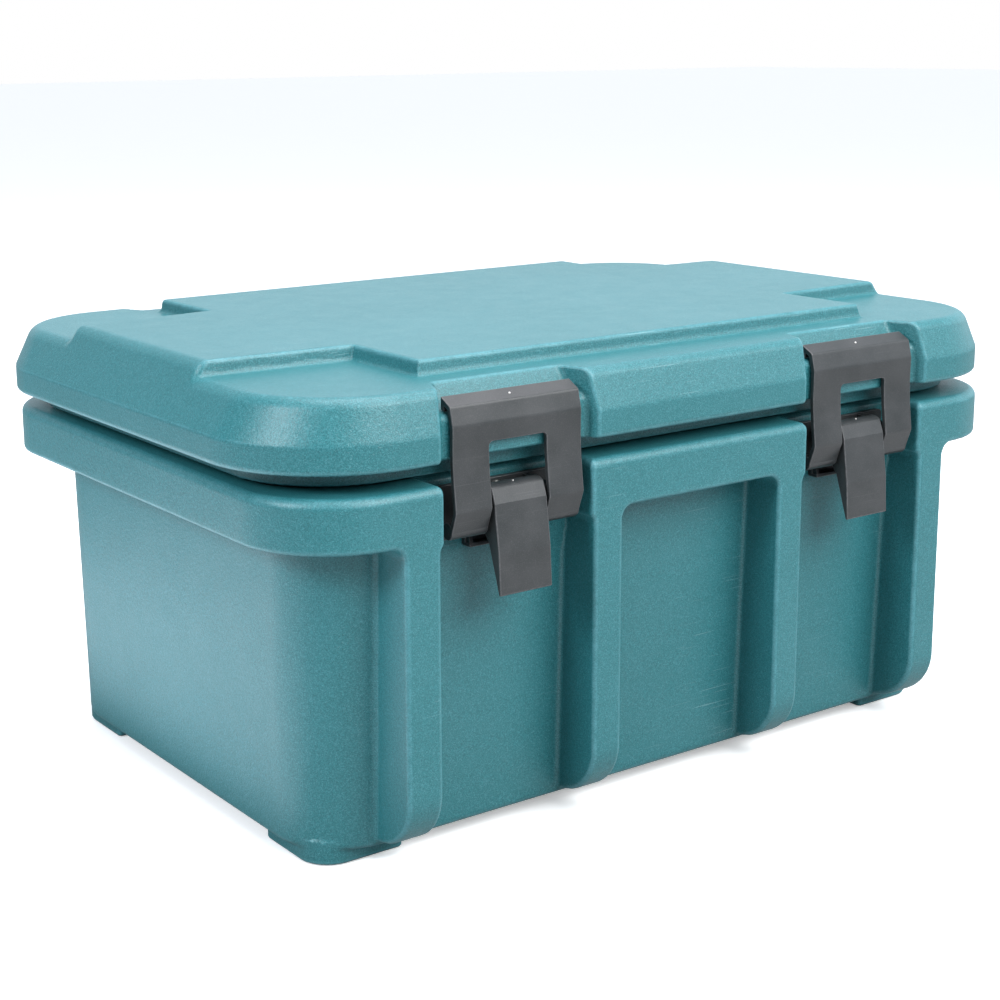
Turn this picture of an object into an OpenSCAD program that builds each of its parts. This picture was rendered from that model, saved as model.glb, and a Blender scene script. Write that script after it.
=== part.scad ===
// Insulated food carrier: a double-walled moulded box for one full-size food pan,
// with a loose lid held down by four over-centre draw latches.
// Millimetres. X runs along the length, the front is -Y, and Z = 0 is under the feet.

/* [Node] */
// which piece to draw

/* [Lid] */
// length of the lid over its widest band
lid_length = 640; // [600:1:680]
// width of the lid over its widest band
lid_width = 440; // [410:1:470]
// height of the lid's lower edge above the floor
lid_bottom = 258; // [240:1:280]
// height of the four corner pads above the floor
pad_top = 302; // [290:1:330]
// height of the raised cross on the lid above the floor
cross_top = 312; // [300:1:340]
// plan radius of the lid's corners
lid_corner = 85; // [60:1:100]

/* [Base] */
// length over the base rim
rim_length = 622; // [590:1:660]
// width over the base rim
rim_width = 437.6; // [410:0.2:470]
// height of the base's top deck
deck_top = 244.7; // [230:0.1:260]
// height of the underside of the rim
rim_bottom = 211; // [190:1:230]
// plan radius of the rim's corners
rim_corner = 65; // [50:1:80]
// height of the feet
foot_height = 9; // [6:1:14]
// thickness of the moulded plastic walls
wall = 3.6; // [3:0.1:5]

/* [Food well] */
// length of the well, clear of a full-size pan's body
well_length = 514; // [505:1:525]
// width of the well
well_width = 310; // [302:1:320]
// height of the well's floor
well_floor = 62; // [50:1:90]
// length of the recess that the pan's flange sits in
flange_length = 535; // [532:1:545]
// width of the recess that the pan's flange sits in
flange_width = 330; // [327:1:340]

/* [Latch] */
// distance of each latch from the middle of the length
latch_x = 151.5; // [140:0.5:160]
// width of the hook
hook_width = 98; // [80:1:110]
// width of the hook's window
window_width = 44; // [40:1:60]
// width of the lever
lever_width = 40; // [30:1:42]
// thickness of the hook's plate
plate = 3.2; // [2.5:0.1:4.5]

/* [Hidden] */

shell_color = [0.36, 0.62, 0.65];
foam_color = [0.93, 0.88, 0.68];
seal_color = [0.20, 0.22, 0.23];
nylon_color = [0.27, 0.27, 0.28];
steel_color = [0.72, 0.73, 0.74];
brass_color = [0.80, 0.66, 0.34];

eps = 0.01;
// steps in each corner of the smooth skins
arc_steps = 16;
// half sizes
lid_l = lid_length / 2;
lid_w = lid_width / 2;
rim_l = rim_length / 2;
rim_w = rim_width / 2;
well_l = well_length / 2;
well_w = well_width / 2;
flange_l = flange_length / 2;
flange_w = flange_width / 2;

// body of the base: half sizes at the bottom and at the deck
body_l = 280;
body_l_top = 282;
body_w = 181;
body_w_top = 188;
body_corner = 50;
// the ribs on the long sides, as distances from the middle
rib_in = [69.5, 92.5];
rib_out = [211, 236.5];
rib_curve = 38;
rib_foot = 14;
// the feet
foot_size = 64;
foot_x = 210;
foot_y = 108;
foot_round = 22;
// the well and its flange recess
well_corner = 42;
flange_corner = 20;
flange_depth = 6;
// the lid's chamfer line, the lower neck and the underside of the plug
chamfer_line = 275.6;
neck_bottom = 246.3;
plug_bottom = 245.6;
neck_l = 300;
neck_w = 197;
neck_corner = 68;
// the raised cross: end tabs and middle part
tab_w_end = 91.4;
tab_w_root = 97;
mid_l = 194;
mid_w = 171;
cross_slope = 1.5;
// the latch recesses in the lid
recess_in = [101.5, 91.3];
recess_out = [199, 211.7];
recess_back = 191;
lip_y = 211;
// the seal
seal_l = 286;
seal_w = 177;
seal_corner = 48;
seal_half = 4;
seal_gap = 0.3;
seal_depth = 2.5;

// latch: pivot of the lever, pivot of the hook, and the mounting pad on the wall
pivot_y = 209;
pivot_z = 230;
knuckle_y = 209;
knuckle_z = 213.5;
pad_y = 189;
pad_half = 46.5;
pad_low = 178.5;
pad_high = 242;
bracket_t = 4;
bracket_half = 46;
bracket_low = 203;
bracket_high = 237.5;
tab_half = 26.5;
tab_low = 197;
tab_t = 9;
tab_h = 2.6;
ear_in = 20.5;
ear_out = 25;
barrel_r = 9;
boss_r = 5.5;
cheek = 3.5;
pin_r = 2.5;
run_gap = 0.06;
screw_z = [207, 231];
screw_r = 2.5;
screw_head_r = 4.6;
screw_head_h = 2.6;
insert_r = 4.5;
insert_back = 176.5;
insert_block = 9;
window_top = 266.5;

// outline of the hook, lever and bracket, as (distance from the middle, height)
hook_outline = [
  [203.5, 295.4], [213, 290.3], [216, 278.3], [215.6, 254], [219, 226.3], [213.4, 210.6],
  [210.2, 211.6], [215.7, 226.7], [212.4, 254.4], [212.8, 277.9], [210.05, 288.2],
  [206.5, 290.2], [206.5, 286.4], [203.5, 287.3]
];
lever_outline = [
  [200.6, 226.5], [203.7, 212], [206.8, 208.5], [212, 202], [222.3, 170.8], [224.1, 171.4],
  [219.2, 226], [217.9, 231.4], [209, 238.9]
];
lever_hollow = [
  [190, 220.2], [216.7, 220.2], [219.6, 184], [190, 184]
];
ear_outline = [
  [192.9, 220], [209, 224.5], [209, 235.5], [192.9, 237.4]
];
recess_outline = [
  [232, 250], [211, 250], [211, 281.5], [209.3, 285], [197.5, 288.5],
  [191, 302.2], [191, 320], [232, 320]
];

// ---------- helpers ----------

// a flat rounded rectangle of half sizes l and w, made of exact arcs
module flat_round(l, w, r) {
  square([2 * (l - r), 2 * w], center = true);
  square([2 * l, 2 * (w - r)], center = true);
  for (sx = [-1, 1]) {
    for (sy = [-1, 1]) {
      translate([sx * (l - r), sy * (w - r)]) circle(r = r, $fn = 96);
    }
  }
}

// the same outline with a height
module block_round(l, w, r, z0, z1) {
  translate([0, 0, z0]) linear_extrude(height = z1 - z0) flat_round(l, w, r);
}

// the corner points of one level, anticlockwise from the +X side
function level_ring(v) = [
  for (q = [0:3])
    for (k = [0:arc_steps])
      let (
        a = 90 * (q + k / arc_steps),
        sx = (q == 0 || q == 3) ? 1 : -1,
        sy = (q < 2) ? 1 : -1
      )
      [sx * (v[1] - v[3]) + v[3] * cos(a), sy * (v[2] - v[3]) + v[3] * sin(a), v[0]]
];

// a smooth skin over levels of [z, half length, half width, corner radius]
module skin(levels) {
  m = 4 * (arc_steps + 1);
  top = (len(levels) - 1) * m;
  points = [for (v = levels) for (p = level_ring(v)) p];
  low_cap = [[for (i = [0:m - 1]) i]];
  high_cap = [[for (i = [m - 1:-1:0]) top + i]];
  lower = [
    for (j = [0:len(levels) - 2])
      for (i = [0:m - 1])
        [j * m + i, (j + 1) * m + i, (j + 1) * m + (i + 1) % m]
  ];
  upper = [
    for (j = [0:len(levels) - 2])
      for (i = [0:m - 1])
        [j * m + i, (j + 1) * m + (i + 1) % m, j * m + (i + 1) % m]
  ];
  polyhedron(points = points, faces = concat(low_cap, lower, upper, high_cap), convexity = 2);
}

// an outline in (y, z) extruded along X from x0 to x1
module side(x0, x1) {
  translate([x0, 0, 0]) rotate([90, 0, 90]) linear_extrude(height = x1 - x0) children();
}

// a round bar along X
module bar(y, z, r, x0, x1) {
  translate([x0, y, z]) rotate([0, 90, 0]) cylinder(r = r, h = x1 - x0, $fn = 48);
}

// a round bar along Y
module peg(x, z, r, y0, y1) {
  translate([x, y0, z]) rotate([-90, 0, 0]) cylinder(r = r, h = y1 - y0, $fn = 48);
}

// one copy on each of the four quarters
module quarters() {
  for (mx = [0, 1]) {
    for (my = [0, 1]) {
      mirror([mx, 0, 0]) mirror([0, my, 0]) children();
    }
  }
}

// ---------- base ----------

module rib(x0, x1, reach, low, curve, z1) {
  side(x0, x1) {
    polygon([
      [body_w - 12, low], [reach - curve, low], [reach, low + curve], [reach, z1], [body_w - 12, z1]
    ]);
    translate([reach - curve, low + curve]) circle(r = curve, $fn = 96);
  }
}

module foot() {
  translate([foot_x, foot_y, 0]) linear_extrude(height = foot_height + 8) {
    square([foot_size, foot_size - foot_round]);
    square([foot_size - foot_round, foot_size]);
    translate([foot_size - foot_round, foot_size - foot_round]) circle(r = foot_round, $fn = 64);
  }
}

module body_outer() {
  skin([
    [foot_height, body_l - 9, body_w - 9, body_corner - 9],
    [foot_height + 2.2, body_l - 4, body_w - 4, body_corner - 4],
    [foot_height + 6, body_l - 0.8, body_w - 0.8, body_corner - 0.8],
    [foot_height + 10, body_l, body_w, body_corner],
    [deck_top - eps, body_l_top, body_w_top, body_corner]
  ]);
}

module rim_outer() {
  skin([
    [rim_bottom, rim_l - 2.5, rim_w - 2.5, rim_corner - 2.5],
    [rim_bottom + 2.5, rim_l, rim_w, rim_corner],
    [deck_top - 9, rim_l, rim_w, rim_corner],
    [deck_top - 4.6, rim_l - 1.2, rim_w - 1.2, rim_corner - 1.2],
    [deck_top - 1.3, rim_l - 4.4, rim_w - 4.4, rim_corner - 4.4],
    [deck_top - eps, rim_l - 9, rim_w - 9, rim_corner - 9]
  ]);
}

// the bays in the rim that the latches hang in
module bays() {
  quarters() {
    translate([rib_in[1], body_w_top, rim_bottom - 5])
      cube([rib_out[0] - rib_in[1], 60, 60]);
  }
}

module wall_pads() {
  quarters() {
    translate([latch_x - pad_half, body_w - 3, pad_low])
      cube([2 * pad_half, pad_y - body_w + 3, pad_high - pad_low]);
  }
}

module insert_holes(r, y0) {
  quarters() {
    for (z = screw_z) {
      peg(latch_x, z, r, y0, pad_y + 1);
    }
  }
}

module well() {
  block_round(well_l, well_w, well_corner, well_floor, deck_top + 1);
  block_round(flange_l, flange_w, flange_corner, deck_top - flange_depth, deck_top + 1);
}

// the closed space between the outer and the inner wall, shrunk by s for the foam
module base_space(s) {
  t = wall + s;
  difference() {
    union() {
      skin([
        [foot_height + t, body_l - t - 5, body_w - t - 5, body_corner - t - 5],
        [foot_height + t + 8, body_l - t, body_w - t, body_corner - t],
        [deck_top - t, body_l_top - t, body_w_top - t, body_corner - t]
      ]);
      difference() {
        block_round(rim_l - t, rim_w - t, rim_corner - t, rim_bottom + t, deck_top - t - 5);
        quarters() {
          translate([rib_in[1] - t, body_w_top - t - 1, rim_bottom - 5])
            cube([rib_out[0] - rib_in[1] + 2 * t, 60, 60]);
        }
      }
      quarters() {
        rib(rib_in[0] + t, rib_in[1] - t, rim_w - t, rib_foot + t, rib_curve - t, rim_bottom + 10);
        rib(rib_out[0] + t, rib_out[1] - t, rim_w - t, rib_foot + t, rib_curve - t, rim_bottom + 10);
      }
    }
    block_round(well_l + t, well_w + t, well_corner + t, well_floor - t, deck_top + 1);
    block_round(flange_l + t, flange_w + t, flange_corner + t,
                deck_top - flange_depth - t, deck_top + 1);
    quarters() {
      translate([latch_x - insert_block - s, well_w - 1, tab_low - 3 - s])
        cube([2 * (insert_block + s), 60, bracket_high - tab_low + 6 + 2 * s]);
    }
  }
}

module base_shell() {
  color(shell_color)
  difference() {
    union() {
      body_outer();
      difference() {
        rim_outer();
        bays();
      }
      quarters() {
        rib(rib_in[0], rib_in[1], rim_w, rib_foot, rib_curve, rim_bottom + 12);
        rib(rib_out[0], rib_out[1], rim_w, rib_foot, rib_curve, rim_bottom + 12);
        foot();
      }
      wall_pads();
    }
    well();
    base_space(0);
    insert_holes(insert_r, insert_back - 0.5);
  }
}

module base_foam() {
  color(foam_color) base_space(0.1);
}

// ---------- lid ----------

module lid_band() {
  skin([
    [lid_bottom, lid_l - 2.5, lid_w - 2.5, lid_corner - 2.5],
    [lid_bottom + 2.5, lid_l, lid_w, lid_corner],
    [chamfer_line, lid_l, lid_w, lid_corner],
    [pad_top - 5, lid_l - 12, lid_w - 6, lid_corner - 7],
    [pad_top - 1.5, lid_l - 14.5, lid_w - 8.5, lid_corner - 10],
    [pad_top - eps, lid_l - 18.5, lid_w - 12, lid_corner - 14]
  ]);
}

// the sloped ends carried up to the top of the cross
module lid_crown() {
  skin([
    [chamfer_line, lid_l, lid_w, lid_corner],
    [pad_top - 5, lid_l - 12, lid_w - 6, lid_corner - 7],
    [cross_top - 2, lid_l - 19.6, lid_w - 12, lid_corner - 14],
    [cross_top - eps, lid_l - 22, lid_w - 14, lid_corner - 16]
  ]);
}

module cross_flat(g) {
  polygon([
    [-lid_l, -tab_w_end - g], [-mid_l - g, -tab_w_root - g], [-mid_l - g, -mid_w - g],
    [mid_l + g, -mid_w - g], [mid_l + g, -tab_w_root - g], [lid_l, -tab_w_end - g],
    [lid_l, tab_w_end + g], [mid_l + g, tab_w_root + g], [mid_l + g, mid_w + g],
    [-mid_l - g, mid_w + g], [-mid_l - g, tab_w_root + g], [-lid_l, tab_w_end + g]
  ]);
}

module cross() {
  intersection() {
    lid_crown();
    union() {
      translate([0, 0, pad_top - 6]) linear_extrude(height = cross_top - pad_top + 4)
        cross_flat(cross_slope);
      translate([0, 0, pad_top - 6]) linear_extrude(height = cross_top - pad_top + 6)
        cross_flat(0);
    }
  }
}

// the recess for one latch, in the quarter with positive x and y
module latch_recess() {
  intersection() {
    side(60, 240) polygon(recess_outline);
    translate([0, 0, lid_bottom - 10]) linear_extrude(height = 80) polygon([
      [recess_in[0], recess_back - 1], [recess_in[1], lid_w + 1], [recess_in[1], lid_w + 12],
      [recess_out[1], lid_w + 12], [recess_out[1], lid_w + 1], [recess_out[0], recess_back - 1]
    ]);
  }
}

module seal_ring(z0, z1, half) {
  difference() {
    block_round(seal_l + half, seal_w + half, seal_corner + half, z0, z1);
    block_round(seal_l - half, seal_w - half, seal_corner - half, z0 - 1, z1 + 1);
  }
}

module lid_space(s) {
  t = wall + s;
  difference() {
    union() {
      skin([
        [lid_bottom + t, lid_l - t, lid_w - t, lid_corner - t],
        [chamfer_line, lid_l - t, lid_w - t, lid_corner - t],
        [pad_top - t, lid_l - 18.5 - t, lid_w - 12 - t, lid_corner - 14 - t]
      ]);
      block_round(neck_l - t, neck_w - t, neck_corner - t, neck_bottom + t + 2.4, lid_bottom + 9);
      intersection() {
        block_round(lid_l - 30, mid_w - t, 40, pad_top - 12, cross_top - t);
        translate([0, 0, pad_top - 12]) linear_extrude(height = 30) cross_flat(-t);
      }
    }
    quarters() {
      translate([recess_in[1] - t, 0, 0]) side(0, recess_out[1] - recess_in[1] + 2 * t)
        polygon([
          [240, 240], [lip_y - t, 240], [lip_y - t, 277], [195.5 - t, 284.4],
          [recess_back - t, 300], [recess_back - t, 330], [240, 330]
        ]);
    }
  }
}

module lid_shell() {
  color(shell_color)
  difference() {
    union() {
      lid_band();
      cross();
      block_round(neck_l, neck_w, neck_corner, neck_bottom, lid_bottom + 1);
      block_round(well_l + 1, well_w + 1, well_corner, plug_bottom, neck_bottom + 1);
    }
    quarters() latch_recess();
    seal_ring(neck_bottom - 1, neck_bottom + seal_depth, seal_half);
    lid_space(0);
  }
}

module lid_foam() {
  color(foam_color) lid_space(0.1);
}

module lid_gasket() {
  color(seal_color) {
    seal_ring(deck_top + seal_gap, neck_bottom + seal_depth - 0.02, seal_half - 0.02);
  }
}

// ---------- latch pieces, drawn on the rear side about x = 0 ----------

module bracket() {
  color(nylon_color)
  difference() {
    union() {
      translate([-bracket_half, pad_y, bracket_low])
        cube([2 * bracket_half, bracket_t, bracket_high - bracket_low]);
      translate([-tab_half, pad_y, tab_low])
        cube([2 * tab_half, bracket_t, bracket_low - tab_low + eps]);
      translate([-tab_half, pad_y, tab_low])
        cube([2 * tab_half, tab_t, tab_h]);
      for (sx = [-1, 1]) {
        x0 = sx > 0 ? ear_in : -ear_out;
        side(x0, x0 + ear_out - ear_in) {
          polygon(ear_outline);
          translate([pivot_y, pivot_z]) circle(r = boss_r, $fn = 48);
        }
      }
    }
    bar(pivot_y, pivot_z, pin_r + run_gap, -40, 40);
    for (z = screw_z) {
      peg(0, z, screw_r + 0.3, pad_y - 1, pad_y + bracket_t + 1);
    }
  }
}

module lever() {
  half = lever_width / 2;
  color(nylon_color)
  difference() {
    union() {
      side(-half, half) {
        polygon(lever_outline);
        translate([pivot_y, pivot_z]) circle(r = barrel_r, $fn = 64);
        translate([knuckle_y, knuckle_z]) circle(r = boss_r, $fn = 48);
      }
    }
    difference() {
      side(-half + cheek, half - cheek) polygon(lever_hollow);
      bar(pivot_y, pivot_z, barrel_r, -half, half);
    }
    bar(pivot_y, pivot_z, pin_r + run_gap, -40, 40);
    bar(knuckle_y, knuckle_z, pin_r, -60, 60);
  }
}

module hook() {
  half = hook_width / 2;
  gap = window_width / 2;
  color(nylon_color)
  difference() {
    union() {
      side(-half, half) polygon(hook_outline);
      for (sx = [-1, 1]) {
        x0 = sx > 0 ? gap : -half;
        bar(knuckle_y, knuckle_z, boss_r, x0, x0 + half - gap);
      }
    }
    translate([-gap, 195, 200]) cube([2 * gap, 40, window_top - 3 - 200]);
    translate([-gap + 3, 195, 200]) cube([2 * gap - 6, 40, window_top - 200]);
    for (sx = [-1, 1]) {
      peg(sx * (gap - 3), window_top - 3, 3, 195, 235);
    }
    bar(knuckle_y, knuckle_z, pin_r + run_gap, -60, 60);
  }
}

module lever_pin() {
  color(steel_color) bar(pivot_y, pivot_z, pin_r, -ear_out - 0.4, ear_out + 0.4);
}

module hook_pin() {
  color(steel_color) bar(knuckle_y, knuckle_z, pin_r, -hook_width / 2 + 1, hook_width / 2 - 1);
}

module screws() {
  color(steel_color)
  for (z = screw_z) {
    difference() {
      union() {
        peg(0, z, screw_r, insert_back + 1.5, pad_y + bracket_t);
        peg(0, z, screw_head_r, pad_y + bracket_t, pad_y + bracket_t + screw_head_h);
      }
      translate([-2.6, pad_y + bracket_t + 1.1, z - 0.5]) cube([5.2, 3, 1]);
      translate([-0.5, pad_y + bracket_t + 1.1, z - 2.6]) cube([1, 3, 5.2]);
    }
  }
}

module inserts() {
  color(brass_color)
  for (z = screw_z) {
    difference() {
      peg(0, z, insert_r - 0.02, insert_back, pad_y);
      peg(0, z, screw_r + 0.05, insert_back + 1, pad_y + 1);
    }
  }
}

// a latch piece moved to its side and end: front is -Y, left is -X
module at_latch(front, left) {
  turn = front ? 180 : 0;
  sx = (front == left) ? 1 : -1;
  rotate([0, 0, turn]) translate([sx * latch_x, 0, 0]) children();
}

base_shell();
base_foam();
lid_shell();
lid_foam();
lid_gasket();
at_latch(true, true) bracket();  // bracket_front_left
at_latch(true, false) bracket();  // bracket_front_right
at_latch(false, true) bracket();  // bracket_rear_left
at_latch(false, false) bracket();  // bracket_rear_right
at_latch(true, true) lever();  // lever_front_left
at_latch(true, false) lever();  // lever_front_right
at_latch(false, true) lever();  // lever_rear_left
at_latch(false, false) lever();  // lever_rear_right
at_latch(true, true) hook();  // hook_front_left
at_latch(true, false) hook();  // hook_front_right
at_latch(false, true) hook();  // hook_rear_left
at_latch(false, false) hook();  // hook_rear_right
at_latch(true, true) lever_pin();  // lever_pin_front_left
at_latch(true, false) lever_pin();  // lever_pin_front_right
at_latch(false, true) lever_pin();  // lever_pin_rear_left
at_latch(false, false) lever_pin();  // lever_pin_rear_right
at_latch(true, true) hook_pin();  // hook_pin_front_left
at_latch(true, false) hook_pin();  // hook_pin_front_right
at_latch(false, true) hook_pin();  // hook_pin_rear_left
at_latch(false, false) hook_pin();  // hook_pin_rear_right
at_latch(true, true) screws();  // screws_front_left
at_latch(true, false) screws();  // screws_front_right
at_latch(false, true) screws();  // screws_rear_left
at_latch(false, false) screws();  // screws_rear_right
at_latch(true, true) inserts();  // inserts_front_left
at_latch(true, false) inserts();  // inserts_front_right
at_latch(false, true) inserts();  // inserts_rear_left
at_latch(false, false) inserts();  // inserts_rear_right
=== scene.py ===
"""Insulated food carrier: the finished look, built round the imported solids.

Lengths inside the shape functions are millimetres; meshes are written in metres.
"""

import math

import bmesh
import bpy
import numpy as np
from mathutils import Matrix, Vector


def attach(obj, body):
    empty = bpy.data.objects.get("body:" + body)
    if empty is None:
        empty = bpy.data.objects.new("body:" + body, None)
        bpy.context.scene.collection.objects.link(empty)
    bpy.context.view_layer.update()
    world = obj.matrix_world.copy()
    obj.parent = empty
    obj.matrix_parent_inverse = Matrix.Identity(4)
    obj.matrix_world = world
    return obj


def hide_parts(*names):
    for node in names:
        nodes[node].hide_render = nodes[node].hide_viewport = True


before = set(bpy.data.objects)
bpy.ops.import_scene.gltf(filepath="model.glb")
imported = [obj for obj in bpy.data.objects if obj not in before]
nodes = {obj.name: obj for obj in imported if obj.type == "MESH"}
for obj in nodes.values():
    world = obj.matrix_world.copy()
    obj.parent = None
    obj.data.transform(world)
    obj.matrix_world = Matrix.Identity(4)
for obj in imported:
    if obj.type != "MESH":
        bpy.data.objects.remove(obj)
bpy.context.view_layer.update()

MM = 0.001
LATCH_X = 151.5
SCREW_Z = (207, 231)
CORNERS = ("front_left", "front_right", "rear_left", "rear_right")

# ---------------------------------------------------------------- distance shapes
# Each function returns a distance in mm, negative inside the plastic. Only one quarter
# of a shape is described, because both halves of the length and the width are alike.
# An outline seen from above is (half length, half width, corner radius).


def length2(a, b):
    return np.sqrt(a * a + b * b)


def join(a, b, r):
    """Union with a round fillet of radius r in the inner corner."""
    return np.maximum(r, np.minimum(a, b)) - length2(
        np.maximum(r - a, 0), np.maximum(r - b, 0)
    )


def trim(a, b, r):
    """Intersection with a round edge of radius r."""
    return np.minimum(-r, np.maximum(a, b)) + length2(
        np.maximum(r + a, 0), np.maximum(r + b, 0)
    )


def carve(a, b, r):
    """a with b taken out, its mouth rounded to r."""
    return trim(a, -b, r)


def plan(x, y, half_l, half_w, r):
    """Rounded rectangle seen from above."""
    qx = x - (half_l - r)
    qy = y - (half_w - r)
    outside = length2(np.maximum(qx, 0), np.maximum(qy, 0))
    return outside + np.minimum(np.maximum(qx, qy), 0) - r


def slab(v, lo, hi):
    return np.maximum(lo - v, v - hi)


def eased(v, start, ease):
    """0 below start and a straight rise above it, with a soft bend."""
    t = np.clip((v - start + ease) / (2 * ease), 0, 1)
    return np.where(v > start + ease, v - start, ease * t * t)


# ---------------------------------------------------------------- the moulded base
DECK = 244.7  # top face, under the lid
RIM_LOW = 211.0  # underside of the rim
BODY = (280, 181, 50)  # outline low down
DRAFT = (1.8, 6.8)  # how much each half size grows over DRAFT_RISE
DRAFT_FROM, DRAFT_RISE = 14, 230
BODY_LOW = 9  # underside between the feet
INNER_RIB, OUTER_RIB = (69.5, 92.5), (211, 236.5)  # from side to side of each rib
RIM = (311, 218.8, 65)
BAY_WALL = 186  # nothing of the rim stands further out than this inside a latch bay
TOE = (180.8, 52, 38)  # centre of the ribs' round lower corner, and its radius
RIB_LOW = 13.5
PAD_X, PAD_Z = (90, 213), (178.5, 242)  # the upright part of a bay's wall
PAD_FACE, PAD_FOOT, PAD_SLOPE = 188.95, 185.8, 0.18
FOOT_AT, FOOT_HALF = (242, 140), 32
FOOT_TURN = (252, 150, 22)  # centre and radius of a foot's outer corner
FOOT_TOP = 16  # inside the body
WELL = (256.9, 154.9, 42)
WELL_FLOOR = 62.1
LEDGE = (267.4, 164.9, 20)  # recess for the pan's flange
LEDGE_FLOOR = 238.8


def base_shape(x, y, z):
    x = np.abs(x)
    y = np.abs(y)
    rise = (z - DRAFT_FROM) / DRAFT_RISE
    body = plan(x, y, BODY[0] + DRAFT[0] * rise, BODY[1] + DRAFT[1] * rise, BODY[2])
    body = trim(body, BODY_LOW - z, 5)

    bay = np.maximum(slab(x, INNER_RIB[1], OUTER_RIB[0]), BAY_WALL - y)
    band = np.maximum(RIM_LOW - z, -bay)
    ribs = np.minimum(slab(x, *INNER_RIB), slab(x, *OUTER_RIB))
    front = join(band, ribs, 9)
    toe_y, toe_z, toe_r = TOE
    toe = length2(np.maximum(y - toe_y, 0), np.maximum(toe_z - z, 0)) - toe_r
    reach = np.maximum(plan(x, y, *RIM), np.where(z < toe_z, toe, -1e3))
    front = trim(front, reach, 3)
    front = np.maximum(front, RIB_LOW - z)
    solid = join(body, front, 3.2)

    # the bay wall stands upright from here up, to carry the latch bracket
    pad = np.maximum(slab(x, *PAD_X), slab(z, *PAD_Z))
    slant = (y - PAD_FOOT - PAD_SLOPE * (z - PAD_Z[0])) * 0.984
    pad = np.maximum(pad, np.maximum(y - PAD_FACE, slant))
    solid = join(solid, np.maximum(pad, 150 - y), 0.8)
    solid = trim(solid, z - DECK, 6)

    foot = plan(np.abs(x - FOOT_AT[0]), np.abs(y - FOOT_AT[1]), FOOT_HALF, FOOT_HALF, 3.5)
    turn_x, turn_y, turn_r = FOOT_TURN
    corner = length2(np.maximum(x - turn_x, 0), np.maximum(y - turn_y, 0)) - turn_r
    foot = trim(np.maximum(foot, corner), -z, 2.2)
    foot = np.maximum(foot, z - FOOT_TOP)
    solid = join(solid, foot, 1.8)

    well = trim(plan(x, y, *WELL), WELL_FLOOR - z, 20)
    solid = carve(solid, well, 3)
    ledge = trim(plan(x, y, *LEDGE), LEDGE_FLOOR - z, 1.6)
    return carve(solid, ledge, 2.2)


# ---------------------------------------------------------------- the moulded lid
LID = (320, 220, 85)  # outline of the skirt
LID_LOW = 258
BEVEL_FROM = 275.6  # height at which the skirt starts to lean in
CROSS_TOP, PAD_TOP = 312, 302
CROSS_L, CROSS_W, TAB_W = 194, 171, 97  # middle of the cross, and its end tabs
RECESS = (101.5, 199)  # side walls of a latch recess, at its back
RECESS_FACE, RECESS_BACK = 211, 197.5
SHELF = 285  # height of the recess's shelf at its outer edge
NECK, NECK_LOW = (300, 197, 68), 246.3  # the step under the skirt
PLUG, PLUG_LOW = (258, 156, 42), 245.6  # the part that covers the well
SEAL_GROOVE, GROOVE_HALF, GROOVE_TOP = (286, 177, 48), 4, 248.8


def lid_shape(x, y, z):
    x = np.abs(x)
    y = np.abs(y)
    lean = eased(z, BEVEL_FROM, 1.0)
    skirt = plan(x, y, LID[0] - 0.57 * lean, LID[1] - 0.29 * lean, LID[2] - 0.5 * lean)

    taper = TAB_W - np.clip((x - CROSS_L) / 105, 0, 1) * 5.6
    tabs = np.maximum(y - taper, x - 330)
    middle = np.maximum(x - CROSS_L, y - CROSS_W)
    cross = join(tabs, middle, 1.5) + 0.15 * (z - 308)
    top = trim(cross, z - CROSS_TOP, 2.2)
    top = join(z - PAD_TOP, top, 2.6)
    shell = trim(skirt, top, 6)
    shell = trim(shell, LID_LOW - z, 3)

    # latch recess: bevelled side walls, upright face, rounded lip, sloping shelf
    out = np.clip((y - 191) / 29, -0.2, 1.2)
    side = np.maximum((RECESS[0] - 10.2 * out) - x, x - (RECESS[1] + 12.7 * out)) * 0.93
    face = RECESS_FACE - y
    back = (RECESS_BACK - 6.5 * np.clip((z - 288.5) / 13.7, 0, 1.4)) - y
    shelf = (SHELF + 0.3 * (209.3 - y)) - z
    hollow = join(face, trim(shelf, back * 0.9, 3.5), 3)
    recess = trim(side, hollow, 2.8)
    shell = carve(shell, recess, 1.6)

    neck = np.maximum(plan(x, y, *NECK), slab(z, NECK_LOW, 262))
    neck = trim(neck, NECK_LOW - z, 2)
    shell = join(shell, neck, 3)
    plug = np.maximum(plan(x, y, *PLUG), slab(z, PLUG_LOW, 252))
    shell = join(shell, trim(plug, PLUG_LOW - z, 1), 1)
    ring = np.abs(plan(x, y, *SEAL_GROOVE)) - GROOVE_HALF
    return np.maximum(shell, -np.maximum(ring, z - GROOVE_TOP))


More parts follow.
